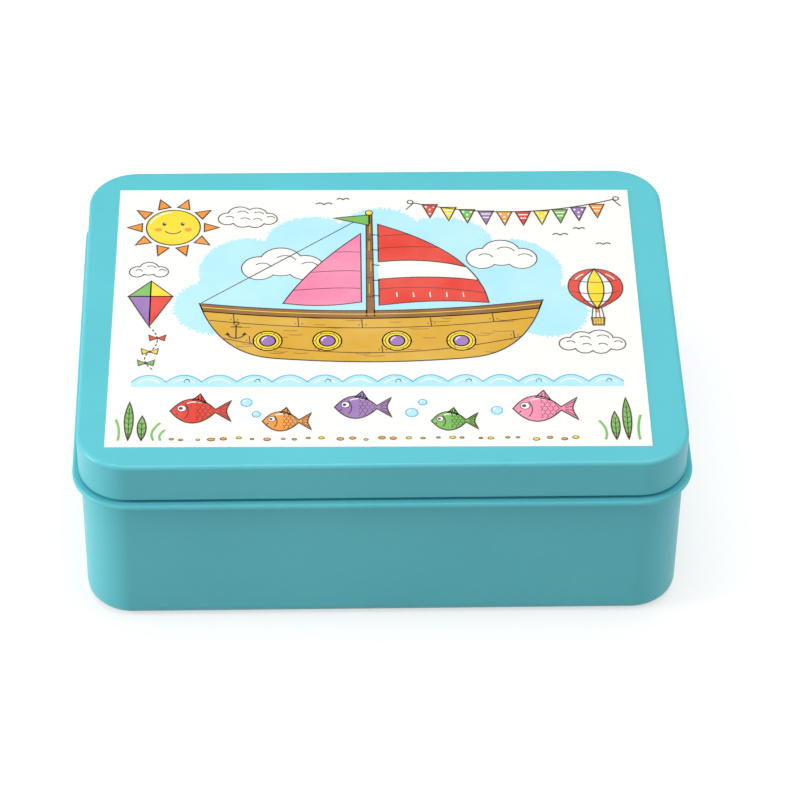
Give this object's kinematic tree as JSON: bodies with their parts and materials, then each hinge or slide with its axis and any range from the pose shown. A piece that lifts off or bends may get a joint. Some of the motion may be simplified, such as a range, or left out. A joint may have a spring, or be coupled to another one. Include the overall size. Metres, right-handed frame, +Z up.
{
  "type": "magnetic fishing game",
  "caption": "Flat rectangular tin with a lift-off lid, a rolled bead and a printed paper label, holding cut-out wooden sea animals with magnets and wooden toy fishing rods.",
  "frame": {"origin": "middle of the underside, on the surface that the tin stands on", "axes": "+X along the tin's length, to the right as the picture on the lid is seen; +Y from front to back; +Z up, the way the lid lifts"},
  "size_m": [0.123, 0.093, 0.0422],
  "materials": {
    "tin_paint": "glossy enamel over tinplate",
    "label_paper": "coated, satin",
    "wood": "sanded plywood, printed faces",
    "rod_wood": "sanded, turned",
    "magnet": "nickel plated",
    "ink_blue": "printed ink",
    "ink_mustard": "printed ink",
    "ink_yellow": "printed ink",
    "ink_red": "printed ink",
    "ink_pink": "printed ink",
    "ink_violet": "printed ink",
    "ink_green": "printed ink",
    "ink_orange": "printed ink",
    "ink_brown": "printed ink"
  },
  "bodies": {
    "base": {"crab": "wood", "crab_magnet": "magnet", "dolphin": "wood", "dolphin_magnet": "magnet", "jellyfish": "wood", "jellyfish_magnet": "magnet", "long_fish": "wood", "long_fish_magnet": "magnet", "octopus": "wood", "octopus_magnet": "magnet", "puffer_fish": "wood", "puffer_fish_magnet": "magnet", "rod_1": "rod_wood", "rod_1_magnet": "magnet", "rod_2": "rod_wood", "rod_2_magnet": "magnet", "round_fish": "wood", "round_fish_magnet": "magnet", "scallop": "wood", "scallop_magnet": "magnet", "seahorse": "wood", "seahorse_magnet": "magnet", "starfish": "wood", "starfish_magnet": "magnet", "tall_fish": "wood", "tall_fish_magnet": "magnet", "tin_body": "tin_paint", "turtle": "wood", "turtle_magnet": "magnet", "whale": "wood", "whale_magnet": "magnet"},
    "lid": {"lid_label": "label_paper", "print_blue": "ink_blue", "print_brown": "ink_brown", "print_green": "ink_green", "print_mustard": "ink_mustard", "print_orange": "ink_orange", "print_pink": "ink_pink", "print_red": "ink_red", "print_violet": "ink_violet", "print_yellow": "ink_yellow", "tin_lid": "tin_paint"}
  },
  "joints": [
    {"name": "lid_lift", "type": "slide", "parent": "base", "child": "lid", "axis": [0, 0, 1], "range_m": [0, 0.045]}
  ]
}
